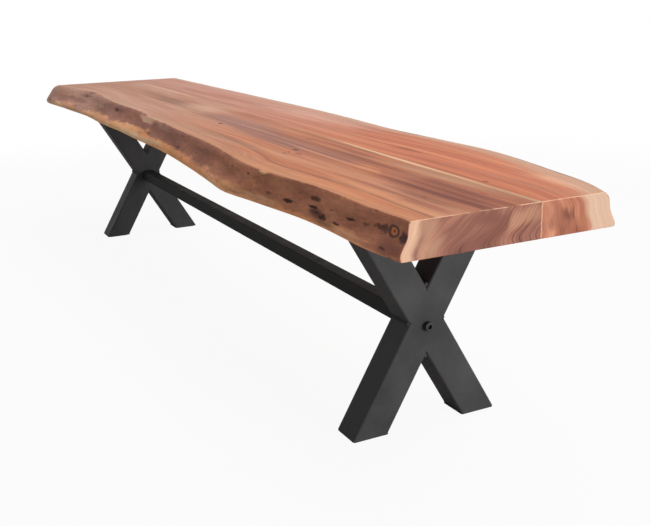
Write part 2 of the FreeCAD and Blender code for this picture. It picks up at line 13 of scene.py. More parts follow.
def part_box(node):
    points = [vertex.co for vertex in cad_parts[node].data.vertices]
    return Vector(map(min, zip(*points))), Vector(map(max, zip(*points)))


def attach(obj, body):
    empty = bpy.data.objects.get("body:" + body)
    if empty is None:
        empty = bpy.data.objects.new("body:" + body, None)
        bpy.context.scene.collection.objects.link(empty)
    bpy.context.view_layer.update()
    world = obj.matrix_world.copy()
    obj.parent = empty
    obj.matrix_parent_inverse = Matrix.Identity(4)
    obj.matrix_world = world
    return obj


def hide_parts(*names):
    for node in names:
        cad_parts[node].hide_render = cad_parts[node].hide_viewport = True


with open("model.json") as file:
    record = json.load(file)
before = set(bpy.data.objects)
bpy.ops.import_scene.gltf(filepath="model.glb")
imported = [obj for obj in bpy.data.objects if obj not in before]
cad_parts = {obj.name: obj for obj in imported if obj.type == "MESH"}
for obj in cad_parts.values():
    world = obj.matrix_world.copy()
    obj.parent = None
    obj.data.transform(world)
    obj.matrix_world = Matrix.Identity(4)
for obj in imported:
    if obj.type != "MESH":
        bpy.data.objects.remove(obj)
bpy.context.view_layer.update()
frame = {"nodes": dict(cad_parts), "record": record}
nodes = frame["nodes"]
slotOf = {entry["node"]: entry["material_slot"] for entry in frame["record"]["subparts"]}
print("frame loaded:", len(nodes), "nodes")


# camera: where the photograph was taken from, in metres and degrees
camera = {
    "place": (2.0934, -0.807, 0.7413),
    "turn": 62.52, "tilt": 73.12, "roll": -1.16,
    "lens": 51.26, "shiftX": -0.0173, "shiftY": 0.013,
}

scene = bpy.context.scene
scene.view_settings.view_transform = "Standard"
lookout = bpy.data.objects.new("camera", bpy.data.cameras.new("camera"))
scene.collection.objects.link(lookout)
lookout.matrix_world = (Matrix.Translation(camera["place"])
                        @ Matrix.Rotation(math.radians(camera["turn"]), 4, "Z")
                        @ Matrix.Rotation(math.radians(camera["tilt"]), 4, "X")
                        @ Matrix.Rotation(math.radians(camera["roll"]), 4, "Z"))
lookout.data.sensor_width = 36
lookout.data.lens = camera["lens"]
lookout.data.shift_x = camera["shiftX"]
lookout.data.shift_y = camera["shiftY"]
scene.camera = lookout


# colours and node trees
def linearColour(code):
    # an sRGB hex colour as the linear one that sockets take
    parts = [int(code[start:start + 2], 16) / 255 for start in (1, 3, 5)]
    return tuple(c / 12.92 if c <= 0.04045 else ((c + 0.055) / 1.055) ** 2.4 for c in parts) + (1.0,)


def put(tree, kind, feed=None, out=0, stops=None, curve=None, **settings):
    # adds one node with its settings and links, and hands back one of its outputs; shader nodes go by
    # their short names
    node = tree.nodes.new(kind if "Node" in kind else "ShaderNode" + kind)
    for name, value in settings.items():
        setattr(node, name, value)
    for socket, value in (feed or {}).items():
        if isinstance(value, bpy.types.NodeSocket):
            tree.links.new(value, node.inputs[socket])
        elif isinstance(value, str) and value.startswith("#"):
            node.inputs[socket].default_value = linearColour(value)
        else:
            node.inputs[socket].default_value = value
    if stops:
        ramp = node.color_ramp
        ramp.elements.remove(ramp.elements[1])
        for index, (at, tone) in enumerate(stops):
            element = ramp.elements[0] if index == 0 else ramp.elements.new(at)
            element.position = at
            element.color = linearColour(tone) if isinstance(tone, str) else (tone, tone, tone, 1)
    if curve:
        line = node.mapping.curves[0]
        line.points[0].location = curve[0]
        line.points[1].location = curve[-1]
        for at, height in curve[1:-1]:
            line.points.new(at, height)
        node.mapping.update()
    return node.outputs[out] if node.outputs else node


def newMaterial(name):
    material = bpy.data.materials.new(name)
    material.use_nodes = True
    tree = material.node_tree
    return material, tree, tree.nodes["Principled BSDF"]


# settings that many nodes share; a map range is fed by number: value, from, to, new from, new to
times = {"operation": "MULTIPLY"}
timesPlus = {"operation": "MULTIPLY_ADD"}
minus = {"operation": "SUBTRACT"}
positive = {"operation": "ABSOLUTE"}
soft = {"interpolation_type": "SMOOTHSTEP"}
layered = {"out": 2, "data_type": "RGBA"}
drawn = {"Scale": 1.0, "Detail": 3.0}
flatNoise = {"noise_dimensions": "2D"}


# light: a pale floor, a broad softbox overhead and one beyond the near end
studio = {
    "floorSize": 60.0, "floorColour": "#DEDEDE", "floorWhite": 0.93, "shadowReach": (1.6, 3.2),
    "worldLight": 0.22,
    "overhead": {"place": (0.5, 1.0, 3.2), "aim": (0.1, 0.1, 0.3), "size": (4.6, 2.6), "power": 83},
    "nearEnd": {"place": (4.2, 1.2, 0.75), "aim": (1.0, 0.0, 0.2), "size": (2.4, 1.6), "power": 112},
}


def addLamp(name, spec):
    lamp = bpy.data.lights.new(name, "AREA")
    lamp.shape = "RECTANGLE"
    lamp.size, lamp.size_y = spec["size"]
    lamp.energy = spec["power"]
    holder = bpy.data.objects.new(name, lamp)
    holder.location = spec["place"]
    aim = Vector(spec["aim"]) - Vector(spec["place"])
    holder.rotation_euler = aim.to_track_quat("-Z", "Y").to_euler()
    scene.collection.objects.link(holder)


for name in ("overhead", "nearEnd"):
    addLamp(name, studio[name])

world = bpy.data.worlds.new("studio")
scene.world = world
world.use_nodes = True
sky = world.node_tree
sky.nodes.clear()
rays = put(sky, "LightPath").node
seen = put(sky, "Math", {0: rays.outputs["Is Camera Ray"], 1: rays.outputs["Is Glossy Ray"]},
           operation="MAXIMUM")
seen = put(sky, "Math", {0: seen, 1: rays.outputs["Is Transmission Ray"]}, operation="MAXIMUM")
lit = put(sky, "Background", {"Color": (1, 1, 1, 1), "Strength": studio["worldLight"]})
white = put(sky, "Background", {"Color": (1, 1, 1, 1), "Strength": 1.0})
put(sky, "OutputWorld", {"Surface": put(sky, "MixShader", {0: seen, 1: lit, 2: white})})

half = studio["floorSize"] / 2
floorMesh = bpy.data.meshes.new("floor")
corners = [(-half, -half, 0), (half, -half, 0), (half, half, 0), (-half, half, 0)]
floorMesh.from_pydata(corners, [], [(0, 1, 2, 3)])
floor = bpy.data.objects.new("floor", floorMesh)
scene.collection.objects.link(floor)
floorPaint, tree, surface = newMaterial("studioFloor")
tree.nodes.remove(surface)
matt = put(tree, "BsdfDiffuse", {"Color": studio["floorColour"]})
glow = put(tree, "Emission", {"Color": (1, 1, 1, 1), "Strength": 1.0})
spot = put(tree, "VectorMath", {0: put(tree, "TexCoord", out=3)}, out=1, operation="LENGTH")
near, far = studio["shadowReach"]
share = put(tree, "MapRange", {0: spot, 1: near, 2: far, 3: studio["floorWhite"], 4: 1.0}, **soft)
floorRays = put(tree, "LightPath").node
share = put(tree, "Math", {0: share, 1: floorRays.outputs["Is Camera Ray"]}, **times)
floorShade = put(tree, "MixShader", {0: share, 1: matt, 2: glow})
tree.links.new(floorShade, tree.nodes["Material Output"].inputs["Surface"])
floorMesh.materials.append(floorPaint)
print("studio ready")


# the two planks of the seat, in metres
seat = {
    "stations": 460, "across": 36, "up": 26,
    "topArris": 0.0022, "footArris": 0.0024, "endArris": 0.0014, "arrisSteps": 5, "arrisGap": 0.0015,
    "readings": (71, 15), "readInset": 0.0005,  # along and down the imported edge
    "relief": {"wave": 0.003, "flute": 0.0011, "fibre": 0.0004},
    "topRelief": (0.0012, 0.25),  # the relief starts this deep in the arris, at this share
    "endRelief": (0.08, 0.35),  # it fades over this length at an end, to this share
    "barkReach": 0.11,  # how far into the plank the rings copy the natural edge
    "leanRise": 0.035, "leanFade": 0.1,  # from the bark and from the glue line
}

# dents in the front natural edge: place along the bench, height, half width, half height, depth (metres)
edgeDents = [
    (1.085, 0.4378, 0.01, 0.006, 0.0015), (1.05, 0.437, 0.03, 0.004, 0.0012),
    (0.985, 0.432, 0.016, 0.003, 0.0016), (0.87, 0.4276, 0.016, 0.003, 0.0018),
    (0.868, 0.4396, 0.02, 0.005, 0.0014), (0.897, 0.42, 0.026, 0.006, 0.003),
    (0.794, 0.4237, 0.018, 0.004, 0.0018), (0.953, 0.4204, 0.01, 0.003, 0.0014),
    (0.692, 0.456, 0.018, 0.006, -0.0025), (-0.425, 0.4414, 0.022, 0.005, 0.003),
    (-0.823, 0.445, 0.022, 0.004, 0.0022), (-0.29, 0.4426, 0.02, 0.005, -0.0022),
    (-0.07, 0.448, 0.075, 0.008, 0.004), (-0.072, 0.432, 0.018, 0.004, -0.002),
    (0.47, 0.436, 0.09, 0.009, 0.0035), (0.59, 0.423, 0.06, 0.008, -0.003),
]

# marks on the seat: along, across, half length, half width, colour, strength (metres)
seatMarks = [
    (0.101, -0.06, 0.014, 0.005, "#4A2E26", 0.9), (0.528, -0.073, 0.014, 0.005, "#42302A", 0.9),
    (0.57, -0.088, 0.016, 0.004, "#5A3A30", 0.7), (0.551, -0.107, 0.01, 0.0035, "#5A3A30", 0.7),
    (0.543, -0.094, 0.004, 0.003, "#2E1E1C", 0.95), (0.432, 0.002, 0.014, 0.003, "#6A4036", 0.6),
    (0.963, 0.041, 0.008, 0.0045, "#5E3428", 0.8), (1.032, -0.013, 0.01, 0.004, "#A3463A", 0.6),
    (1.007, -0.098, 0.006, 0.003, "#5E3428", 0.6),
]

# broad stains along the grain of the seat, streaky at their borders
seatStains = [
    (-0.405, -0.006, 0.15, 0.03, "#8F6450", 0.75), (-0.6, 0.015, 0.14, 0.028, "#B07F69", 0.5),
    (-0.2, 0.000, 0.13, 0.075, "#D3A78B", 0.6), (-0.78, 0.08, 0.33, 0.012, "#D8B098", 0.55),
    (0.3, -0.03, 0.33, 0.022, "#8A5543", 0.55), (0.64, -0.025, 0.11, 0.03, "#87523F", 0.6),
    (0.11, -0.018, 0.23, 0.04, "#A47C72", 0.75), (0.4, -0.052, 0.23, 0.034, "#9C6E62", 0.75),
    (0.64, -0.052, 0.11, 0.018, "#9C6656", 0.7), (0.9, 0.01, 0.2, 0.018, "#D49E7A", 0.75),
    (0.985, -0.054, 0.18, 0.044, "#7C4030", 0.75), (1.06, -0.07, 0.09, 0.022, "#743A2C", 0.6),
    (0.86, -0.02, 0.05, 0.04, "#C98A68", 0.2), (0.76, -0.09, 0.18, 0.014, "#D39470", 0.6),
    (0.64, 0.1, 0.06, 0.01, "#9A5238", 0.65), (0.38, 0.155, 0.06, 0.008, "#9A5238", 0.6),
    (0.7, 0.18, 0.24, 0.016, "#CE8A6A", 0.5), (0.9, 0.11, 0.18, 0.02, "#D8805A", 0.5),
    (-0.48, 0.15, 0.26, 0.05, "#C98570", 0.5), (0.1, 0.17, 0.26, 0.03, "#C98A74", 0.45),
    (0.18, 0.083, 0.22, 0.006, "#A06A5A", 0.55), (0.2, -0.14, 0.26, 0.018, "#D8A68A", 0.6),
    (0.9, -0.118, 0.14, 0.012, "#A0604A", 0.6), (0.3, -0.13, 0.32, 0.01, "#B27A5C", 0.5),
    (-0.35, -0.11, 0.3, 0.012, "#C99B82", 0.5), (0.12, 0.185, 0.3, 0.05, "#DEAC98", 0.75),
    (1.04, 0.135, 0.1, 0.022, "#E6A884", 0.75), (0.56, -0.118, 0.2, 0.016, "#D69C7C", 0.6),
    (0.9, -0.14, 0.12, 0.016, "#D89870", 0.7), (1.015, -0.1, 0.09, 0.022, "#90583E", 0.75),
    (1.05, -0.128, 0.08, 0.013, "#9C5F48", 0.9),
]

# patches on the front natural edge: along, height, half length, half height, colour, strength
edgeStains = [
    (-0.995, 0.44, 0.06, 0.007, "#C48A68", 0.6), (-0.9, 0.431, 0.13, 0.007, "#845C4C", 0.85),
    (-0.57, 0.43, 0.14, 0.006, "#866152", 0.65), (-0.96, 0.424, 0.08, 0.004, "#8E4E38", 0.5),
    (-0.87, 0.419, 0.06, 0.003, "#E2A070", 0.8), (-0.82, 0.414, 0.07, 0.004, "#D29A66", 0.85),
    (-0.49, 0.418, 0.08, 0.006, "#C8936E", 0.7), (-0.425, 0.4414, 0.024, 0.005, "#3A2420", 0.95),
    (-0.823, 0.445, 0.022, 0.0035, "#5A3C38", 0.8), (-0.803, 0.456, 0.026, 0.003, "#6E5046", 0.7),
    (-0.29, 0.4426, 0.014, 0.004, "#A8543E", 0.7), (-0.27, 0.4425, 0.06, 0.006, "#AE7E5E", 0.6),
    (-0.34, 0.441, 0.03, 0.004, "#C0906C", 0.5), (-0.33, 0.418, 0.06, 0.0045, "#D8A36E", 0.7),
    (-0.07, 0.454, 0.08, 0.0055, "#E8B890", 0.95), (-0.14, 0.449, 0.07, 0.0065, "#F2C2A0", 0.95),
    (0.03, 0.449, 0.07, 0.006, "#C49880", 0.6), (0.37, 0.428, 0.08, 0.014, "#7E5546", 0.75),
    (-0.11, 0.413, 0.18, 0.0055, "#F2C49C", 0.9), (-0.072, 0.432, 0.02, 0.0045, "#D8A574", 0.85),
    (-0.055, 0.428, 0.016, 0.003, "#5E4034", 0.7), (0.08, 0.432, 0.04, 0.004, "#A07050", 0.5),
    (0.02, 0.416, 0.08, 0.006, "#ECBA90", 0.85), (0.12, 0.415, 0.08, 0.006, "#DBA46C", 0.8),
    (0.26, 0.41, 0.07, 0.0045, "#CC9664", 0.6), (0.585, 0.418, 0.062, 0.006, "#D6A070", 0.8),
    (0.69, 0.4125, 0.08, 0.0055, "#DCA880", 0.8), (0.53, 0.432, 0.07, 0.009, "#74503E", 0.65),
    (0.66, 0.433, 0.03, 0.008, "#C08658", 0.5), (0.74, 0.447, 0.05, 0.006, "#B48058", 0.6),
    (0.874, 0.42, 0.02, 0.006, "#2A1B1B", 0.95), (0.975, 0.412, 0.07, 0.0045, "#E0A880", 0.9),
    (1.09, 0.418, 0.035, 0.011, "#805448", 0.8), (0.9, 0.413, 0.045, 0.006, "#64493C", 0.65),
]

# small dark or pale marks on the same edge, one of them partly a painted highlight
edgeMarks = [
    # the second mark here, a chip at the upper rim, is coloured far paler than its wood as a painted
    # highlight
    (0.19, 0.4275, 0.014, 0.003, "#5E4238", 0.6), (0.692, 0.4554, 0.018, 0.0036, "#FFC68C", 0.95),
    (0.938, 0.4545, 0.006, 0.005, "#DCA064", 0.7), (0.858, 0.4396, 0.018, 0.0045, "#4A2A26", 0.85),
    (0.857, 0.4276, 0.016, 0.0026, "#33201E", 0.95), (0.893, 0.4192, 0.014, 0.0052, "#33201E", 0.95),
    (0.889, 0.4207, 0.007, 0.0018, "#7E4638", 0.8), (0.974, 0.432, 0.016, 0.0026, "#382321", 0.9),
    (0.782, 0.4237, 0.018, 0.0034, "#332020", 0.95), (0.941, 0.419, 0.012, 0.002, "#33201E", 0.9),
    (1.052, 0.4375, 0.018, 0.0045, "#4A3433", 0.8), (1.02, 0.434, 0.012, 0.003, "#4B2F2A", 0.6),
    (1.11, 0.434, 0.01, 0.009, "#47373B", 0.85), (1.077, 0.4145, 0.005, 0.0022, "#4A3035", 0.75),
    (1.066, 0.438, 0.008, 0.008, "#4A3838", 0.7), (0.72, 0.426, 0.01, 0.003, "#4B2F2A", 0.6),
]
knot = {
    "place": (1.085, 0.4378), "size": (0.0126, 0.0084),
    "rings": [(0.0, "#742E28"), (0.18, "#A4563C"), (0.36, "#D88E64"), (0.6, "#C07850"), (0.74, "#523838"),
              (0.88, "#6E5048")],
}
stainBorder = {
    "waves": (22, 70), "shift": (0.016, 0.0035), "fade": (1.35, 1.1), "faint": 0.0001,
    "seed": 7,  # without one the noise follows the clock
}


def layStains(along, over, marks, drift):
    # colours and strengths of soft patches at every point, one laid over another
    waves, shift = stainBorder["waves"], stainBorder["shift"]
    noise.seed_set(stainBorder["seed"])
    bend = np.array([noise.noise_vector((a * waves[0], o * waves[1], drift))
                     for a, o in zip(along.ravel(), over.ravel())])
    along = along + bend[:, 0].reshape(along.shape) * shift[0]
    over = over + bend[:, 1].reshape(over.shape) * shift[1]
    tint = np.zeros(along.shape + (3,))
    cover = np.zeros(along.shape)
    for place, height, wide, tall, tone, strength in marks:
        away = np.hypot((along - place) / wide, (over - height) / tall)
        share = np.clip((stainBorder["fade"][0] - away) / stainBorder["fade"][1], 0, 1)
        # the faint rest keeps a colour where no stain reaches
        share = share * share * (3 - 2 * share) * strength + stainBorder["faint"] / (1 + away ** 2)
        tint = tint * (1 - share[..., None]) + share[..., None] * np.array(linearColour(tone)[:3])
        cover = cover * (1 - share) + share
    return tint / cover[..., None], cover


def smoothThrough(known, values, wanted):
    # a cubic through the known places, one row for each
    slope = np.gradient(values, known, axis=0)
    index = np.clip(np.searchsorted(known, wanted) - 1, 0, len(known) - 2)
    width = (known[index + 1] - known[index])[:, None]
    t = (wanted - known[index])[:, None] / width
    return ((2 * t ** 3 - 3 * t ** 2 + 1) * values[index] + (t ** 3 - 2 * t ** 2 + t) * width * slope[index]
            + (3 * t ** 2 - 2 * t ** 3) * values[index + 1] + (t ** 3 - t ** 2) * width * slope[index + 1])


def readEdge(node, outward, places, heights):
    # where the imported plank's natural edge stands
    mesh = nodes[node].data
    tree = BVHTree.FromPolygons([v.co for v in mesh.vertices], [p.vertices[:] for p in mesh.polygons])
    into = Vector((0, -outward, 0))
    return np.array([[tree.ray_cast(Vector((x, outward, z)), into)[0].y for z in heights] for x in places])


def wrapGrid(stations, rows, columns):
    # the points and faces of a closed shell: round each cross-section, with the two ends filled
    border = [(0, j) for j in range(columns)] + [(i, columns - 1) for i in range(1, rows)]
    border += [(rows - 1, j) for j in range(columns - 2, -1, -1)] + [(i, 0) for i in range(rows - 2, 0, -1)]
    number = -np.ones((stations, rows, columns), int)
    keep = [(k, i, j) for i, j in border for k in range(stations)]
    keep += [(k, i, j) for k in (0, stations - 1) for i in range(1, rows - 1) for j in range(1, columns - 1)]
    for index, spot in enumerate(keep):
        number[spot] = index
    faces = []
    for (i, j), (m, n) in zip(border, border[1:] + border[:1]):
        for k in range(stations - 1):
            faces.append((number[k, i, j], number[k + 1, i, j], number[k + 1, m, n], number[k, m, n]))
    for k in (0, stations - 1):
        for i in range(rows - 1):
            for j in range(columns - 1):
                faces.append([number[k, m, n] for m, n in ((i, j), (i, j + 1), (i + 1, j + 1), (i + 1, j))])
    return tuple(np.array(keep).T), [tuple(int(v) for v in corner) for corner in faces]


def buildPlank(name, wood):
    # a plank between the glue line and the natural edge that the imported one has
    low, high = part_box("front_slab")
    reach, top, thick = high.x, high.z, high.z - low.z
    glueEnds = high.y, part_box("rear_slab")[0].y
    outward = wood["outward"]
    across, up, steps = seat["across"], seat["up"], seat["arrisSteps"]

    # depths below the seat down the natural edge, and how far its two arrises set them in
    turn = np.linspace(0, math.pi / 2, steps)
    r1, r2, r3 = seat["topArris"], seat["footArris"], seat["endArris"]
    middle = np.linspace(r1, thick - r2, up - 2 * steps + 3)[1:-1]
    depth = np.concatenate([r1 - r1 * np.cos(turn), middle, thick - r2 + r2 * np.sin(turn)])
    inset = np.concatenate([r1 - r1 * np.sin(turn), 0 * middle, r2 - r2 * np.cos(turn)])

    # stations along the bench, closer at the two ends, where the cross-section is set in
    innerReach = reach - r3 - seat["arrisGap"]
    inner = np.linspace(-innerReach, innerReach, seat["stations"])
    endTurn = np.concatenate([[0], r3 * np.sin(turn)])
    setIn = np.concatenate([[0], r3 - r3 * np.cos(turn)])
    places = np.concatenate([-reach + r3 - endTurn[::-1], inner, reach - r3 + endTurn])
    ease = np.concatenate([setIn[::-1], 0 * inner, setIn])

    readReach = reach - seat["readInset"]
    known = np.linspace(-readReach, readReach, seat["readings"][0])
    shares = np.linspace(0.01, 0.99, seat["readings"][1])
    edge = readEdge(wood["node"], outward, known, top - shares * thick)
    edge = smoothThrough(known, edge, places)
    face = smoothThrough(shares * thick, edge.T, depth).T
    glue = np.interp(places, [-reach, reach], glueEnds)

    # every point of every cross-section: station, down, across
    t = np.concatenate([np.linspace(0, 0.99, across), [1.0]])
    live = face - outward * (inset[None, :] + ease[:, None])
    drop = ease[:, None] + depth[None, :] * (thick - 2 * ease[:, None]) / thick
    grid = np.zeros((len(places), len(depth), len(t), 3))
    grid[..., 0] = places[:, None, None]
    grid[..., 1] = glue[:, None, None] + (live - glue[:, None])[:, :, None] * t
    grid[..., 2] = (top - drop)[:, :, None]

    # rings follow the bark near it, run straight further in, and lean on the end grain
    fromBark = np.abs(grid[..., 1] - face[:, :, None])
    straight = np.abs(grid[..., 1] - face.mean(axis=0)[None, :, None])
    hold = np.exp(-fromBark / seat["barkReach"])
    growth = fromBark * hold + straight * (1 - hold)
    fromGlue = np.abs(grid[..., 1] - glue[:, None, None])
    leaning = wood["lean"] * (1 - np.exp(-fromBark / seat["leanRise"]))
    leaning = leaning * (1 - np.exp(-(fromGlue / seat["leanFade"]) ** 4))
    growth = growth - (thick / 2 - depth)[None, :, None] * leaning

    # how much relief the natural edge takes, and its dents
    reliefShare = np.zeros(grid.shape[:3])
    start, least = seat["topRelief"]
    calm = np.clip((depth + start) / (r1 + start), least, 1) * np.clip((thick - depth) / r2, 0, 1)
    fade, rest = seat["endRelief"]
    quiet = rest + (1 - rest) * np.clip((reach - np.abs(places)) / fade, 0, 1)
    reliefShare[:, :, -1] = calm * quiet[:, None]
    dent = np.zeros(grid.shape[:3])
    for along, height, wide, tall, deep in wood["dents"]:
        away = ((places - along)[:, None] / wide) ** 2 + ((top - depth - height)[None, :] / tall) ** 2
        dent[:, :, -1] += deep * np.exp(-away)

    tint, cover = layStains(grid[..., 0], grid[..., 1], seatStains, 0.0)
    if wood["edgeStains"]:
        outer = grid[:, :, -1]
        tint[:, :, -1], cover[:, :, -1] = layStains(outer[..., 0], outer[..., 2], wood["edgeStains"], 5.0)

    pick, faces = wrapGrid(*grid.shape[:3])
    mesh = bpy.data.meshes.new(name)
    mesh.from_pydata(grid[pick].tolist(), [], faces)
    for label, values in (("growth", growth), ("fromBark", fromBark), ("reliefShare", reliefShare),
                          ("dent", dent), ("stain", cover)):
        layer = mesh.attributes.new(label, "FLOAT", "POINT")
        layer.data.foreach_set("value", values[pick].astype(np.float32))
    layer = mesh.attributes.new("stainColour", "FLOAT_VECTOR", "POINT")
    layer.data.foreach_set("vector", tint[pick].astype(np.float32).ravel())
    shell = bmesh.new()
    shell.from_mesh(mesh)
    bmesh.ops.recalc_face_normals(shell, faces=shell.faces)
    shell.to_mesh(mesh)
    shell.free()
    mesh.shade_smooth()
    mesh.set_sharp_from_angle(angle=math.radians(40))
    plank = bpy.data.objects.new(name, mesh)
    scene.collection.objects.link(plank)
    return plank


def naturalRelief(name, outward, seed):
    # waves, flutes and fibres of the wood that lay under the bark, carved across the natural edge
    tree = bpy.data.node_groups.new(name, "GeometryNodeTree")
    add = partial(put, tree)
    face = tree.interface
    face.new_socket("Geometry", in_out="INPUT", socket_type="NodeSocketGeometry")
    for label in seat["relief"]:
        face.new_socket(label, in_out="INPUT", socket_type="NodeSocketFloat")
    face.new_socket("Material", in_out="INPUT", socket_type="NodeSocketMaterial")
    face.new_socket("Geometry", in_out="OUTPUT", socket_type="NodeSocketGeometry")
    source = add("NodeGroupInput").node
    place = add("GeometryNodeInputPosition")
    total = None
    # per metre: waves 60 mm high, flutes 8 mm and fibres 3 mm, the last coarser than real ones
    scales = {"wave": (7, 7, 17), "flute": (11, 11, 120), "fibre": (42, 42, 330)}
    for step, (label, scale) in enumerate(scales.items()):
        spot = add("VectorMath", {0: place, 1: scale}, **times)
        rough = add("TexNoise", {"Vector": spot, "W": seed + step, "Scale": 1.0, "Detail": 2.0},
                    noise_dimensions="4D")
        level = add("Math", {0: rough, 1: 0.5}, **minus)
        level = add("Math", {0: level, 1: source.outputs[label]}, **times)
        total = level if total is None else add("Math", {0: total, 1: level})
    total = add("Math", {0: total, 1: 2.0}, **times)
    dent = add("GeometryNodeInputNamedAttribute", {"Name": "dent"}, data_type="FLOAT")
    total = add("Math", {0: total, 1: dent}, **minus)
    mask = add("GeometryNodeInputNamedAttribute", {"Name": "reliefShare"}, data_type="FLOAT")
    total = add("Math", {0: total, 1: mask}, **times)
    total = add("Math", {0: total, 1: float(outward)}, **times)
    shift = add("CombineXYZ", {"Y": total})
    moved = add("GeometryNodeSetPosition", {"Geometry": source.outputs["Geometry"], "Offset": shift})
    whole = add("GeometryNodeRealizeInstances", {0: moved})
    dressed = add("GeometryNodeSetMaterial", {0: whole, "Material": source.outputs["Material"]})
    add("NodeGroupOutput", {"Geometry": dressed})
    return tree


def dress(piece, tree, sizes, material):
    # runs a tree on a piece, and leaves a plain mesh in its place
    modifier = piece.modifiers.new(tree.name, "NODES")
    modifier.node_group = tree
    for item in tree.interface.items_tree:
        if item.in_out == "INPUT" and item.name in sizes:
            modifier[item.identifier] = sizes[item.name]
        if item.in_out == "INPUT" and item.name == "Material":
            modifier[item.identifier] = material
    depsgraph = bpy.context.evaluated_depsgraph_get()
    mesh = bpy.data.meshes.new_from_object(piece.evaluated_get(depsgraph), depsgraph=depsgraph)
    piece.modifiers.remove(modifier)
    piece.data = mesh
    mesh.name = piece.name
    return piece


# solid acacia, sawn through and through, sanded and oiled: warm salmon to mauve-brown heartwood with
# dark streaks along the bench, pale sapwood next to the bark, a soft sheen that dulls the far end
# the paler far end is partly painted: the far palettes carry some of that sheen in their colours
grain = {
    # per metre, over the rings and along the bench: bands 60 mm wide, lines 12 mm and fine streaks 2.5 mm
    "zone": (17.0, 0.7), "line": (85.0, 1.5), "fine": (400.0, 5.0),
    "zoneShare": 0.7,
    "wander": 0.022, "ripple": 0.005,  # how far slow and quick noise bend the rings, in metres
    "endSwirl": (42.0, 9.0), "endRing": 270.0,  # per metre: across the end and up it, and rings 4 mm apart
    "span": 1.118,  # curves along the bench run from this far before the middle to this far beyond it
    "roughness": 0.58, "specular": 0.14,
}

# noises: scale per metre, offset, detail and roughness
clouds = {
    "slow": ((1.5, 5, 5), (3.1, 0, 0), 2.0, 0.5), "quick": ((6, 38, 38), (0, 0, 0), 3.0, 0.5),
    "band": ((1.1, 16, 0), (0, 1, 0), 3.0, 0.5),
    # open vessels about 1 mm wide, drawn coarser than the real 0.2 mm
    "pore": ((70, 700, 700), (0, 0, 0), 1.0, 0.5),
    # on the natural edge: skin in layers 20 mm high, patches of 18 mm, pits of 8 mm and chips of 7 mm
    "skin": ((9, 9, 48), (0, 0, 1), 4.0, 0.6), "patch": ((8, 13, 55), (1, 0, 0), 4.0, 0.65),
    "pit": ((40, 40, 130), (0, 0, 0), 2.0, 0.5), "chip": ((55, 55, 150), (0, 0, 0), 4.0, 0.65),
}

frontWood = {
    "node": "front_slab", "outward": -1, "lean": 0.75, "seed": 4.0,
    "dents": edgeDents, "edgeStains": edgeStains,
    "base": [(0.28, "#884C35"), (0.41, "#B66C4B"), (0.51, "#CB8059"), (0.63, "#DA9971"), (0.77, "#E7B28B")],
    # far: the far end's palette, paler and greyer in part as a painted sheen
    "far": [(0.28, "#AC7861"), (0.44, "#C59077"), (0.56, "#D09C85"), (0.72, "#DBAC92")],
    "heart": [(0.26, "#7C422F"), (0.42, "#9C5A40"), (0.53, "#B06A4C"), (0.64, "#C47F5B"), (0.78, "#D49872")],
    "end": [(0.26, "#5C332B"), (0.4, "#7E5044"), (0.52, "#905F50"), (0.64, "#A4705B"), (0.78, "#BE8C6C")],
    "sapwood": ("#DCAE92", "#D2946C"), "sapwoodEnd": "#D2A88C", "sapwoodWidth": 0.034, "rimShare": 0.62,
    "endRim": (1.26, 0.86), "ringShare": 0.75,
    # stains on the end: across, height, half width, half height, colour, strength
    "endStains": [
        (-0.168, 0.43, 0.026, 0.045, "#B5876E", 0.8), (-0.1, 0.432, 0.04, 0.03, "#825447", 0.4),
        (-0.062, 0.446, 0.03, 0.01, "#75483E", 0.65), (-0.045, 0.424, 0.03, 0.02, "#704236", 0.4),
        (-0.008, 0.44, 0.03, 0.014, "#B8886C", 0.55), (0.012, 0.42, 0.012, 0.016, "#7C5145", 0.4),
    ],
    # curves along the bench, as shares of its length and of their own range
    "heartReach": [
        (0.0, 0.22), (0.1, 0.1), (0.24, 0.25), (0.3, 0.45), (0.36, 0.3), (0.39, 0.0), (0.45, 0.0),
        (0.47, 0.75), (0.6, 0.85), (0.74, 0.95), (0.81, 0.9), (0.835, 0.5), (0.865, 0.55),
        (0.885, 0.95), (1.0, 1.0),
    ],
    "heartLine": [
        (0.0, 0.5), (0.3, 0.56), (0.46, 0.525), (0.56, 0.518), (0.68, 0.484), (0.73, 0.512),
        (0.8, 0.56), (0.85, 0.535), (0.88, 0.47), (0.94, 0.452), (1.0, 0.43),
    ],
    "darkLine": [
        (0.0, 0.0), (0.62, 0.4), (0.7, 0.335), (0.74, 0.3), (0.79, 0.245), (0.84, 0.262),
        (0.9, 0.292), (0.966, 0.278), (1.0, 0.27),
    ],
    "glueGlow": [
        (0.0, 0.15), (0.06, 0.45), (0.16, 0.75), (0.3, 0.65), (0.35, 0.15), (0.5, 0.1), (0.6, 0.3),
        (0.66, 0.25), (0.73, 0.5), (0.752, 1.0), (0.86, 1.0), (0.9, 0.55), (1.0, 0.75),
    ],
}
rearWood = {
    "node": "rear_slab", "outward": 1, "lean": 0.05, "seed": 9.0,
    "dents": [], "edgeStains": [],
    "base": [(0.3, "#A65A42"), (0.41, "#BE6C4C"), (0.51, "#CC7B58"), (0.61, "#D98C66"), (0.74, "#E5A682")],
    # far: the far end's palette, paler and greyer in part as a painted sheen
    "far": [(0.28, "#B27762"), (0.44, "#CA917C"), (0.56, "#D69E8B"), (0.72, "#DFAE9A")],
    "end": [(0.28, "#7A4635"), (0.42, "#9C604A"), (0.54, "#B07259"), (0.66, "#C08468"), (0.8, "#CE9674")],
    "sapwood": ("#DCB49C", "#D2A88E"), "sapwoodEnd": "#C7A58D", "sapwoodWidth": 0.052, "rimShare": 0.8,
    "endRim": (1.52, 1.22), "ringShare": 0.12, "skinOver": 0.75,
    "endStains": [
        (0.066, 0.431, 0.016, 0.012, "#703F30", 0.85), (0.034, 0.436, 0.026, 0.03, "#A26A54", 0.55),
        (0.098, 0.418, 0.016, 0.01, "#A2694D", 0.6),
    ],
}


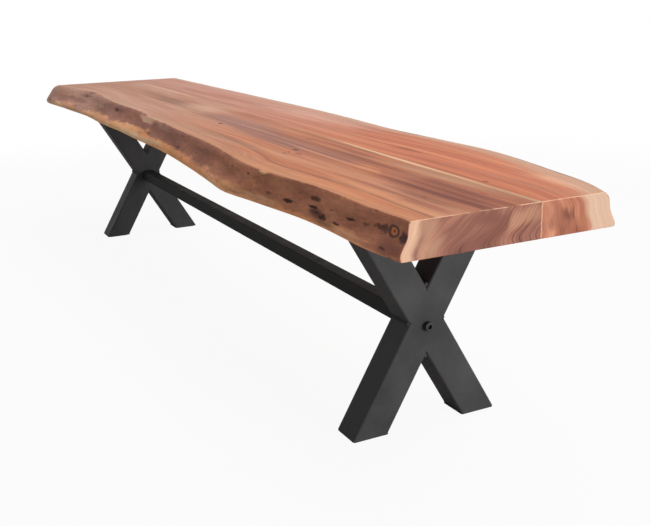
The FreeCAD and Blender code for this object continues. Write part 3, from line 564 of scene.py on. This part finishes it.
def paintMarks(add, colour, spot, marks, mask, border=(1.15, 0.45)):
    # soft spots laid over a colour, one after another
    for along, over, wide, tall, tone, strength in marks:
        centre, scale = (-along / wide, -over / tall, 0), (1 / wide, 1 / tall, 0)
        local = add("Mapping", {"Vector": spot, "Location": centre, "Scale": scale})
        away = add("VectorMath", {0: local}, out=1, operation="LENGTH")
        cover = add("MapRange", {0: away, 1: border[0], 2: border[1], 4: strength}, **soft)
        cover = add("Math", {0: cover, 1: mask}, **times)
        colour = add("Mix", {0: cover, 6: colour, 7: tone}, **layered)
    return colour


def timberFigure(add, wood):
    # the places, masks and grain noises that all colours of a plank are built from
    low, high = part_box("front_slab")
    place = add("TexCoord", out=3)
    x, y, z = add("SeparateXYZ", {0: place}).node.outputs
    along = add("MapRange", {0: x, 1: -grain["span"], 2: grain["span"]})
    nearPart = add("MapRange", {0: along, 1: 0.3, 2: 0.78}, **soft)
    growth = add("Attribute", out=2, attribute_name="growth")
    fromBark = add("Attribute", out=2, attribute_name="fromBark")
    glueEnds = {3: high.y, 4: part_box("rear_slab")[0].y}
    glueLine = add("MapRange", {0: x, 1: low.x, 2: high.x, **glueEnds})
    fromGlue = add("Math", {0: y, 1: glueLine}, **minus)
    fromGlue = add("Math", {0: fromGlue}, **positive)
    facing = add("SeparateXYZ", {0: add("TexCoord", out=1)}).node.outputs
    endward = add("Math", {0: facing[0]}, **positive)
    endMask = add("MapRange", {0: endward, 1: 0.55, 2: 0.8}, **soft)

    noises = {}
    for label, (scale, offset, detail, roughness) in clouds.items():
        offset = [step * wood["outward"] for step in offset]
        spot = add("Mapping", {"Vector": place, "Location": offset, "Scale": scale})
        noises[label] = add("TexNoise",
                            {"Vector": spot, "Scale": 1.0, "Detail": detail, "Roughness": roughness})

    # rings, bent by slow and quick noise
    rings = add("Math", {0: noises["slow"], 1: grain["wander"], 2: growth}, **timesPlus)
    rings = add("Math", {0: noises["quick"], 1: grain["ripple"], 2: rings}, **timesPlus)
    streaks = []
    for label in ("zone", "line", "fine"):
        over, run = grain[label]
        over = add("Math", {0: rings, 1: over}, **times)
        run = add("Math", {0: x, 1: run}, **times)
        spot = add("CombineXYZ", {0: over, 1: run})
        streaks.append(add("TexNoise", {"Vector": spot, **drawn, "Roughness": 0.6}, **flatNoise))
    zone, line, fine = streaks
    blend = add("Math", {0: line, 1: 1 - grain["zoneShare"]}, **times)
    blend = add("Math", {0: zone, 1: grain["zoneShare"], 2: blend}, **timesPlus)

    # the distance from the bark in widths of the sapwood, which widens towards the near end
    edgeward = add("Math", {0: noises["slow"], 1: 0.02, 2: fromBark}, **timesPlus)
    width = add("MapRange", {0: along, 1: 0.75, 2: 1.0, 3: 0.026, 4: wood["sapwoodWidth"]})
    sapwoods = add("Math", {0: edgeward, 1: width}, operation="DIVIDE")

    # a small shake that makes the marks' outlines uneven
    shake = add("TexNoise", {"Vector": place, **drawn, "Scale": 130.0, "Roughness": 0.6}, out=1)
    shake = add("VectorMath", {0: shake, 1: (0.5, 0.5, 0.5)}, **minus)
    return SimpleNamespace(
        x=x, y=y, z=z, along=along, nearPart=nearPart, fromBark=fromBark, fromGlue=fromGlue, endward=endward,
        upward=facing[2], endMask=endMask, rings=rings, line=line, fine=fine, blend=blend, sapwoods=sapwoods,
        shake=shake, **noises,
        stain=add("Attribute", out=2, attribute_name="stain"),
        stainColour=add("Attribute", out=1, attribute_name="stainColour"))


def heartwood(add, wood, figure, colour):
    # heartwood between the glue line and a wandering border, strong in some lengths and absent in others
    border = add("FloatCurve", {"Value": figure.along}, curve=wood["heartLine"])
    border = add("MapRange", {0: border, 3: -0.3, 4: 0.15})
    border = add("Math", {0: figure.quick, 1: 0.014, 2: border}, **timesPlus)
    inside = add("Math", {0: figure.y, 1: border}, **minus)
    inside = add("MapRange", {0: inside, 1: 0.003, 2: 0.015}, **soft)
    reach = add("FloatCurve", {"Value": figure.tip}, curve=wood["heartReach"])
    inside = add("Math", {0: inside, 1: reach}, **times)
    streaky = add("MapRange", {0: figure.line, 1: 0.36, 2: 0.66, 3: 1.15, 4: 0.6})
    inside = add("Math", {0: inside, 1: streaky}, use_clamp=True, **times)
    heart = add("ValToRGB", {0: figure.blend}, stops=wood["heart"])
    colour = add("Mix", {0: inside, 6: colour, 7: heart}, **layered)

    # one dark grain line that runs with the natural edge, near the end
    track = add("FloatCurve", {"Value": figure.along}, curve=wood["darkLine"])
    track = add("MapRange", {0: track, 3: -0.24, 4: 0.06})
    track = add("Math", {0: figure.quick, 1: 0.006, 2: track}, **timesPlus)
    gap = add("Math", {0: figure.y, 1: track}, **minus)
    gap = add("Math", {0: gap}, **positive)
    cover = add("MapRange", {0: gap, 1: 0.006, 2: 0.0005, 4: 0.55}, **soft)
    nearEnd = add("MapRange", {0: figure.along, 1: 0.68, 2: 0.76}, **soft)
    cover = add("Math", {0: cover, 1: nearEnd}, **times)
    return add("Mix", {0: cover, 6: colour, 7: "#7A4E3C"}, **layered)


def glueStrip(add, wood, figure, colour):
    # pale strip beside the glue line
    away = add("Math", {0: figure.line, 1: 0.012, 2: figure.fromGlue}, **timesPlus)
    cover = add("MapRange", {0: away, 1: 0.02, 2: 0.008}, **soft)
    glowing = add("FloatCurve", {"Value": figure.tip}, curve=wood["glueGlow"])
    cover = add("Math", {0: cover, 1: glowing}, **times)
    return add("Mix", {0: cover, 6: colour, 7: "#E9BF97"}, **layered)


def seatColour(add, wood, figure):
    # the near part is redder than the far part, whose paler, greyer palette is partly a painted sheen, and
    # broad bands turn towards mauve
    near = add("ValToRGB", {0: figure.blend}, stops=wood["base"])
    # the far palette holds part of the far end's sheen as painted colour
    far = add("ValToRGB", {0: figure.blend}, stops=wood["far"])
    colour = add("Mix", {0: figure.nearPart, 6: far, 7: near}, **layered)
    cover = add("MapRange", {0: figure.band, 1: 0.48, 2: 0.66, 4: 0.4}, **soft)
    colour = add("Mix", {0: cover, 6: colour, 7: "#AC7868"}, **layered)
    if "heartLine" in wood:
        # the ends of heartwood and pale strip fray along the grain
        tip = add("Math", {0: figure.line, 1: 0.5}, **minus)
        figure.tip = add("Math", {0: tip, 1: 0.4, 2: figure.along}, use_clamp=True, **timesPlus)
        colour = heartwood(add, wood, figure, colour)

    # stains, made streaky by the grain
    streaky = add("MapRange", {0: figure.line, 1: 0.34, 2: 0.66, 3: 1.45, 4: 0.5})
    cover = add("Math", {0: figure.stain, 1: streaky}, use_clamp=True, **times)
    grainy = add("MapRange", {0: figure.blend, 1: 0.36, 2: 0.64, 3: 0.74, 4: 1.26})
    grainy = add("VectorMath", {0: figure.stainColour, "Scale": grainy}, operation="SCALE")
    colour = add("Mix", {0: cover, 6: colour, 7: grainy}, **layered)
    if "glueGlow" in wood:
        colour = glueStrip(add, wood, figure, colour)

    # sapwood next to the bark
    away = add("Math", {0: figure.line, 1: 0.9, 2: figure.sapwoods}, **timesPlus)
    cover = add("MapRange", {0: away, 1: 1.85, 2: 1.15, 4: wood["rimShare"]}, **soft)
    farRim, nearRim = wood["sapwood"]
    rim = add("Mix", {0: figure.nearPart, 6: farRim, 7: nearRim}, **layered)
    colour = add("Mix", {0: cover, 6: colour, 7: rim}, **layered)
    if "skinOver" in wood:
        # dark skin left on the very edge of the seat, but not at the far end
        away = add("Math", {0: figure.slow, 1: 0.012, 2: figure.fromBark}, **timesPlus)
        away = add("Math", {0: figure.quick, 1: 0.02, 2: away}, **timesPlus)
        cover = add("MapRange", {0: away, 1: 0.0215, 2: 0.0165, 4: wood["skinOver"]}, **soft)
        beyond = add("MapRange", {0: figure.along, 1: 0.3, 2: 0.45}, **soft)
        cover = add("Math", {0: cover, 1: beyond}, **times)
        colour = add("Mix", {0: cover, 6: colour, 7: "#6E5C4E"}, **layered)
    return colour


def endColour(add, wood, figure):
    # end grain: broad swirls, with rings close together towards the glue line
    across, up = grain["endSwirl"]
    across = add("Math", {0: figure.rings, 1: across}, **times)
    up = add("Math", {0: figure.z, 1: up}, **times)
    swirl = add("CombineXYZ", {0: across, 1: up})
    swirl = add("TexNoise", {"Vector": swirl, **drawn, "Roughness": 0.56}, **flatNoise)
    ringLine = add("Math", {0: figure.rings, 1: grain["endRing"]}, **times)
    ringLine = add("TexNoise", {"W": ringLine, "Scale": 1.0, "Detail": 1.0}, noise_dimensions="1D")
    ringShare = {3: 0.12, 4: wood["ringShare"]}
    crowd = add("MapRange", {0: figure.fromGlue, 1: 0.105, 2: 0.015, **ringShare}, **soft)
    blend = add("Mix", {0: crowd, 2: swirl, 3: ringLine}, data_type="FLOAT")
    colour = add("ValToRGB", {0: blend}, stops=wood["end"])
    bend = add("Math", {0: swirl, 1: 0.5}, **minus)
    bend = add("CombineXYZ", {0: bend, 1: bend})
    spot = add("CombineXYZ", {0: figure.y, 1: figure.z})
    spot = add("VectorMath", {0: bend, 1: (0.08, 0.03, 0), 2: spot}, **timesPlus)
    colour = paintMarks(add, colour, spot, wood["endStains"], 1.0, (1.4, 0.3))

    # pale sapwood at the outer end, and the glue's own thin line
    away = add("Math", {0: swirl, 1: 0.5, 2: figure.sapwoods}, **timesPlus)
    cover = add("MapRange", {0: away, 1: wood["endRim"][0], 2: wood["endRim"][1]}, **soft)
    colour = add("Mix", {0: cover, 6: colour, 7: wood["sapwoodEnd"]}, **layered)
    seam = add("MapRange", {0: figure.fromGlue, 1: 0.0018, 2: 0.0006, 4: 0.6}, **soft)
    return add("Mix", {0: seam, 6: colour, 7: "#D8A888"}, **layered)


# the natural edge's skin, in tones before the painted light that brings them up
edgeSkin = {
    "tones": [(0.28, "#8C5A43"), (0.42, "#A06B52"), (0.56, "#B0775B"), (0.7, "#BE8364"), (0.84, "#D09874")],
    "gold": [(0.3, "#CC8A5E"), (0.5, "#DE9E6E"), (0.7, "#ECB284")],
    "farTone": "#90695E", "farPaleTone": "#D0AA96", "farPaleGold": "#F4CCA0", "pitTone": "#46302A",
    "raggedFrom": (0.451, 0.456),  # heights between which its upper border turns ragged
    "shadeLift": (1.38, 1.31, 1.36, 1),  # painted light: how much each colour is brought up, as the edge faces away from the lamps
}


def edgeColour(add, wood, figure):
    # brown where the bark came off, golden where the sander went through it
    low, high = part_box("front_slab")

    # where the skin is, with a ragged upper border
    start, end = edgeSkin["raggedFrom"]
    upper = add("MapRange", {0: figure.z, 1: start, 2: end}, **soft)
    ragged = add("Math", {0: figure.chip, 1: 0.5}, **minus)
    ragged = add("Math", {0: ragged, 1: upper}, **times)
    ragged = add("Math", {0: ragged, 1: 0.008, 2: figure.fromBark}, **timesPlus)
    barkMask = add("MapRange", {0: ragged, 1: 0.0016, 2: 0.0008}, **soft)

    # its tones turn mauve and then pale towards the far end
    colour = add("ValToRGB", {0: figure.skin}, stops=edgeSkin["tones"])
    mauve = add("MapRange", {0: figure.along, 1: 0.8, 2: 0.5}, **soft)
    cover = add("Math", {0: mauve, 1: 0.65}, **times)
    colour = add("Mix", {0: cover, 6: colour, 7: edgeSkin["farTone"]}, **layered)
    farPaling = add("MapRange", {0: figure.along, 1: 0.42, 2: 0.05, 4: 0.6}, **soft)
    colour = add("Mix", {0: farPaling, 6: colour, 7: edgeSkin["farPaleTone"]}, **layered)

    # golden towards the foot, in patches
    down = add("MapRange", {0: figure.z, 1: high.z, 2: low.z})
    golden = add("Math", {0: figure.patch, 1: 0.9, 2: down}, **timesPlus)
    golden = add("Math", {0: mauve, 1: 0.16, 2: golden}, **timesPlus)
    golden = add("Math", {0: farPaling, 1: -0.36, 2: golden}, **timesPlus)
    golden = add("MapRange", {0: golden, 1: 1.13, 2: 1.29}, **soft)
    clear = add("MapRange", {0: figure.x, 1: 1.085, 2: 0.99}, **soft)
    golden = add("Math", {0: golden, 1: clear}, **times)
    gold = add("ValToRGB", {0: figure.line}, stops=edgeSkin["gold"])
    gold = add("Mix", {0: farPaling, 6: gold, 7: edgeSkin["farPaleGold"]}, **layered)
    colour = add("Mix", {0: golden, 6: colour, 7: gold}, **layered)
    shade = add("MapRange", {0: figure.chip, 1: 0.3, 2: 0.7, 3: 0.85, 4: 1.15})
    colour = add("VectorMath", {0: colour, "Scale": shade}, operation="SCALE")
    cover = add("MapRange", {0: figure.pit, 1: 0.66, 2: 0.74, 4: 0.7}, **soft)
    colour = add("Mix", {0: cover, 6: colour, 7: edgeSkin["pitTone"]}, **layered)
    if wood["edgeStains"]:
        uneven = add("MapRange", {0: figure.patch, 1: 0.35, 2: 0.65, 3: 0.7, 4: 1.25})
        cover = add("Math", {0: figure.stain, 1: uneven}, use_clamp=True, **times)
        colour = add("Mix", {0: cover, 6: colour, 7: figure.stainColour}, **layered)
    # painted light: the edge's colours are multiplied up for the little light that reaches its side
    colour = add("Mix", {0: 1.0, 6: colour, 7: edgeSkin["shadeLift"]}, blend_type="MULTIPLY",
                 clamp_result=True, **layered)
    return colour, barkMask


def edgeDetails(add, figure, colour):
    # small marks on the front natural edge, and the knot
    side = add("CombineXYZ", {0: figure.x, 1: figure.z})
    spot = add("VectorMath", {0: figure.shake, 1: (0.026, 0.0055, 0), 2: side}, **timesPlus)
    colour = paintMarks(add, colour, spot, edgeMarks, 1.0)
    spot = add("VectorMath", {0: figure.shake, 1: (0.005, 0.0025, 0), 2: side}, **timesPlus)
    (x, z), (wide, tall) = knot["place"], knot["size"]
    spot = add("Mapping",
               {"Vector": spot, "Location": (-x / wide, -z / tall, 0), "Scale": (1 / wide, 1 / tall, 0)})
    away = add("VectorMath", {0: spot}, out=1, operation="LENGTH")
    rings = add("ValToRGB", {0: away}, stops=knot["rings"])
    cover = add("MapRange", {0: away, 1: 1.2, 2: 0.86}, **soft)
    return add("Mix", {0: cover, 6: colour, 7: rings}, **layered)


def makeTimber(name, wood):
    material, tree, surface = newMaterial(name)
    add = partial(put, tree)
    figure = timberFigure(add, wood)
    colour = seatColour(add, wood, figure)
    endGrain = endColour(add, wood, figure)
    colour = add("Mix", {0: figure.endMask, 6: colour, 7: endGrain}, **layered)

    # painted highlight: the end's upper arris, where it turns both to the end and up, is lightened towards
    # pale wood in patches
    turnedEnd = add("MapRange", {0: figure.endward, 1: 0.2, 2: 0.4}, **soft)
    turnedUp = add("MapRange", {0: figure.upward, 1: 0.2, 2: 0.4}, **soft)
    patchyGlint = add("MapRange", {0: figure.quick, 1: 0.36, 2: 0.56, 4: 0.6}, **soft)
    arris = add("Math", {0: turnedEnd, 1: turnedUp}, **times)
    arris = add("Math", {0: arris, 1: patchyGlint}, **times)
    colour = add("Mix", {0: arris, 6: colour, 7: "#E9BFA2"}, **layered)

    # small marks on the seat
    seatMask = add("MapRange", {0: figure.upward, 1: 0.45, 2: 0.75}, **soft)
    flat = add("CombineXYZ", {0: figure.x, 1: figure.y})
    flat = add("VectorMath", {0: figure.shake, 1: (0.012, 0.006, 0), 2: flat}, **timesPlus)
    colour = paintMarks(add, colour, flat, seatMarks, seatMask)

    skinColour, barkMask = edgeColour(add, wood, figure)
    if wood["edgeStains"]:
        skinColour = edgeDetails(add, figure, skinColour)
    colour = add("Mix", {0: barkMask, 6: colour, 7: skinColour}, **layered)

    # open vessels and fine streaks, calmer on the end
    pore = add("MapRange", {0: figure.pore, 1: 0.6, 2: 0.72}, **soft)
    shade = add("MapRange", {0: figure.fine, 1: 0.32, 2: 0.68, 3: 0.86, 4: 1.1})
    shade = add("Math", {0: pore, 1: -0.14, 2: shade}, **timesPlus)
    calm = add("Math", {0: figure.endMask, 1: 0.4}, **times)
    shade = add("Mix", {0: calm, 2: shade, 3: 0.97}, data_type="FLOAT")
    colour = add("VectorMath", {0: colour, "Scale": shade}, operation="SCALE")
    tree.links.new(colour, surface.inputs["Base Color"])

    # the skin is duller than the sanded wood, and rougher to the touch
    rough = add("Math", {0: barkMask, 1: 0.14, 2: grain["roughness"]}, **timesPlus)
    rough = add("Math", {0: figure.line, 1: 0.08, 2: rough}, **timesPlus)
    tree.links.new(rough, surface.inputs["Roughness"])
    height = add("Math", {0: pore, 1: -0.6, 2: figure.fine}, **timesPlus)
    skinHeight = add("Math", {0: barkMask, 1: 3.0}, **times)
    height = add("Math", {0: figure.skin, 1: skinHeight, 2: height}, **timesPlus)
    bump = add("Bump", {"Height": height, "Strength": 0.35, "Distance": 0.0006})
    tree.links.new(bump, surface.inputs["Normal"])
    surface.inputs["Specular IOR Level"].default_value = grain["specular"]
    return material


for name, wood in (("seatFrontPlank", frontWood), ("seatRearPlank", rearWood)):
    node = wood["node"]
    material = makeTimber(name + "Acacia", wood)
    plank = buildPlank(name, wood)
    relief = naturalRelief(name + "Relief", wood["outward"], wood["seed"])
    dress(plank, relief, seat["relief"], material)
    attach(plank, "root")
    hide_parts(node)
    print(name, "made:", len(plank.data.polygons), "faces")


# metals and felt: tones, roughness, grain as clouds and peel per metre, and the peel's height in metres
finishes = {
    # satin black powder coat, sprayed and baked: fine orange peel 1 mm wide, slightly grey in the light
    "frame_powder_coat": {
        "tones": [(0.36, "#343436"), (0.64, "#464646")], "roughness": (0.48, 0.66), "metal": 0.0,
        "specular": 0.14, "grain": (14, 900), "bump": 0.00012,
    },
    # the same coat over a weld bead
    "weld_powder_coat": {
        "tones": [(0.3, "#343435"), (0.7, "#3E3E3F")], "roughness": (0.5, 0.6), "metal": 0.0,
        "specular": 0.15, "grain": (60, 900), "bump": 0.00012,
    },
    # the same coat on the stretcher, which looks duller in the shade of the seat: that shade is painted into
    # its darker tones
    "stretcher_powder_coat": {
        "tones": [(0.3, "#2A2D2C"), (0.7, "#2F3231")], "roughness": (0.55, 0.65), "metal": 0.0,
        "specular": 0.1, "grain": (26, 900), "bump": 0.00012,
    },
    # black oxide on turned steel: dark grey and faintly glossy
    "black_oxide_steel": {
        "tones": [(0.3, "#212122"), (0.7, "#323234")], "roughness": (0.42, 0.52), "metal": 0.4,
        "specular": 0.5, "grain": (120, 1200), "bump": 0.00006,
    },
    # bare cold-drawn steel, lightly oiled: grey with a soft shine
    "plain_steel": {
        "tones": [(0.3, "#8E8F92"), (0.7, "#A9AAAD")], "roughness": (0.32, 0.44), "metal": 1.0,
        "specular": 0.5, "grain": (90, 1500), "bump": 0.00004,
    },
    # turned brass: warm yellow with a soft shine
    "insert_brass": {
        "tones": [(0.3, "#B08A4A"), (0.7, "#C7A15C")], "roughness": (0.28, 0.4), "metal": 1.0,
        "specular": 0.5, "grain": (90, 1500), "bump": 0.00004,
    },
    # pressed wool felt: matt charcoal, its hairs drawn 0.7 mm wide, coarser than real ones
    "glide_felt": {
        "tones": [(0.3, "#1F1D1B"), (0.7, "#34312E")], "roughness": (0.9, 1.0), "metal": 0.0,
        "specular": 0.2, "grain": (300, 1400), "bump": 0.0004,
    },
}


def makeFinish(name, spec):
    material, tree, surface = newMaterial(name)
    add = partial(put, tree)
    place = add("TexCoord", out=3)
    cloud = add("TexNoise", {"Vector": place, "Scale": float(spec["grain"][0]), "Detail": 4.0})
    peel = add("TexNoise", {"Vector": place, "Scale": float(spec["grain"][1]), "Detail": 1.0})
    blend = add("Math", {0: cloud, 1: 0.65}, **times)
    blend = add("Math", {0: peel, 1: 0.35, 2: blend}, **timesPlus)
    tone = add("ValToRGB", {0: blend}, stops=spec["tones"])
    tree.links.new(tone, surface.inputs["Base Color"])
    smoothest, roughest = spec["roughness"]
    rough = add("MapRange", {0: cloud, 1: 0.3, 2: 0.7, 3: smoothest, 4: roughest})
    tree.links.new(rough, surface.inputs["Roughness"])
    bump = add("Bump", {"Height": peel, "Strength": 0.5, "Distance": spec["bump"]})
    tree.links.new(bump, surface.inputs["Normal"])
    surface.inputs["Metallic"].default_value = spec["metal"]
    surface.inputs["Specular IOR Level"].default_value = spec["specular"]
    return material


materials = {slot: makeFinish(slot, spec) for slot, spec in finishes.items()}
for node, part in nodes.items():
    if slotOf[node] in materials:
        for slot in part.material_slots:
            slot.material = materials[slotOf[node]]
print("steel, brass and felt finished")


# weld beads: overlapping ripples laid along a path, in metres and degrees
weld = {
    "leg": 0.006, "lean": 30.3, "pitch": 0.0023, "endGap": 0.001,
    "bead": {"side": 0.0036, "deep": 0.0042}, "shift": {"side": 0.0005, "deep": 0.0052},
    "ball": (14, 8), "swell": (0.9, 1.1), "flat": 0.62, "seed": 5,
}


def weldTree():
    tree = bpy.data.node_groups.new("weldRipples", "GeometryNodeTree")
    add = partial(put, tree)
    face = tree.interface
    face.new_socket("Geometry", in_out="INPUT", socket_type="NodeSocketGeometry")
    for label in ("Bead radius", "Ripple pitch"):
        face.new_socket(label, in_out="INPUT", socket_type="NodeSocketFloat")
    face.new_socket("Material", in_out="INPUT", socket_type="NodeSocketMaterial")
    face.new_socket("Geometry", in_out="OUTPUT", socket_type="NodeSocketGeometry")
    source = add("NodeGroupInput").node
    path = add("GeometryNodeMeshToCurve", {0: source.outputs["Geometry"]})
    spots = add("GeometryNodeCurveToPoints", {"Curve": path, "Length": source.outputs["Ripple pitch"]},
                mode="LENGTH").node
    (segments, rings), (least, most) = weld["ball"], weld["swell"]
    ball = add("GeometryNodeMeshUVSphere",
               {"Segments": segments, "Rings": rings, "Radius": source.outputs["Bead radius"]})
    swell = add("FunctionNodeRandomValue", {2: least, 3: most, "Seed": weld["seed"]}, out=1,
                data_type="FLOAT")
    scale = add("CombineXYZ", {0: swell, 1: swell, 2: weld["flat"]})
    laid = add("GeometryNodeInstanceOnPoints",
               {"Points": spots.outputs["Points"], "Instance": ball, "Rotation": spots.outputs["Rotation"],
                "Scale": scale})
    whole = add("GeometryNodeRealizeInstances", {0: laid})
    smooth = add("GeometryNodeSetShadeSmooth", {0: whole})
    dressed = add("GeometryNodeSetMaterial", {0: smooth, "Material": source.outputs["Material"]})
    add("NodeGroupOutput", {"Geometry": dressed})
    return tree


weldRipples = weldTree()
for side in ("right", "left"):
    low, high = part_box(side + "_crossing_welds")
    centreY, centreZ = (low.y + high.y) / 2, (low.z + high.z) / 2
    lean = math.radians(weld["lean"])
    sideways = (high.y - low.y) / 2 - weld["leg"] * math.sin(lean) + weld["shift"]["side"]
    upward = (high.z - low.z) / 2 - weld["leg"] * math.cos(lean) + weld["shift"]["deep"]
    beads = []
    for kind, spots in (("side", [(centreY - sideways, centreZ), (centreY + sideways, centreZ)]),
                        ("deep", [(centreY, centreZ - upward), (centreY, centreZ + upward)])):
        mesh = bpy.data.meshes.new(f"{side}_{kind}_bead")
        points = []
        edges = []
        for y, z in spots:
            edges.append((len(points), len(points) + 1))
            points += [(low.x + weld["endGap"], y, z), (high.x - weld["endGap"], y, z)]
        mesh.from_pydata(points, edges, [])
        bead = bpy.data.objects.new(f"{side}_{kind}_bead", mesh)
        scene.collection.objects.link(bead)
        sizes = {"Bead radius": weld["bead"][kind], "Ripple pitch": weld["pitch"]}
        beads.append(dress(bead, weldRipples, sizes, materials["weld_powder_coat"]))

    for bead in beads:
        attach(bead, "root")
        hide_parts(side + "_crossing_welds")
print("welds laid")
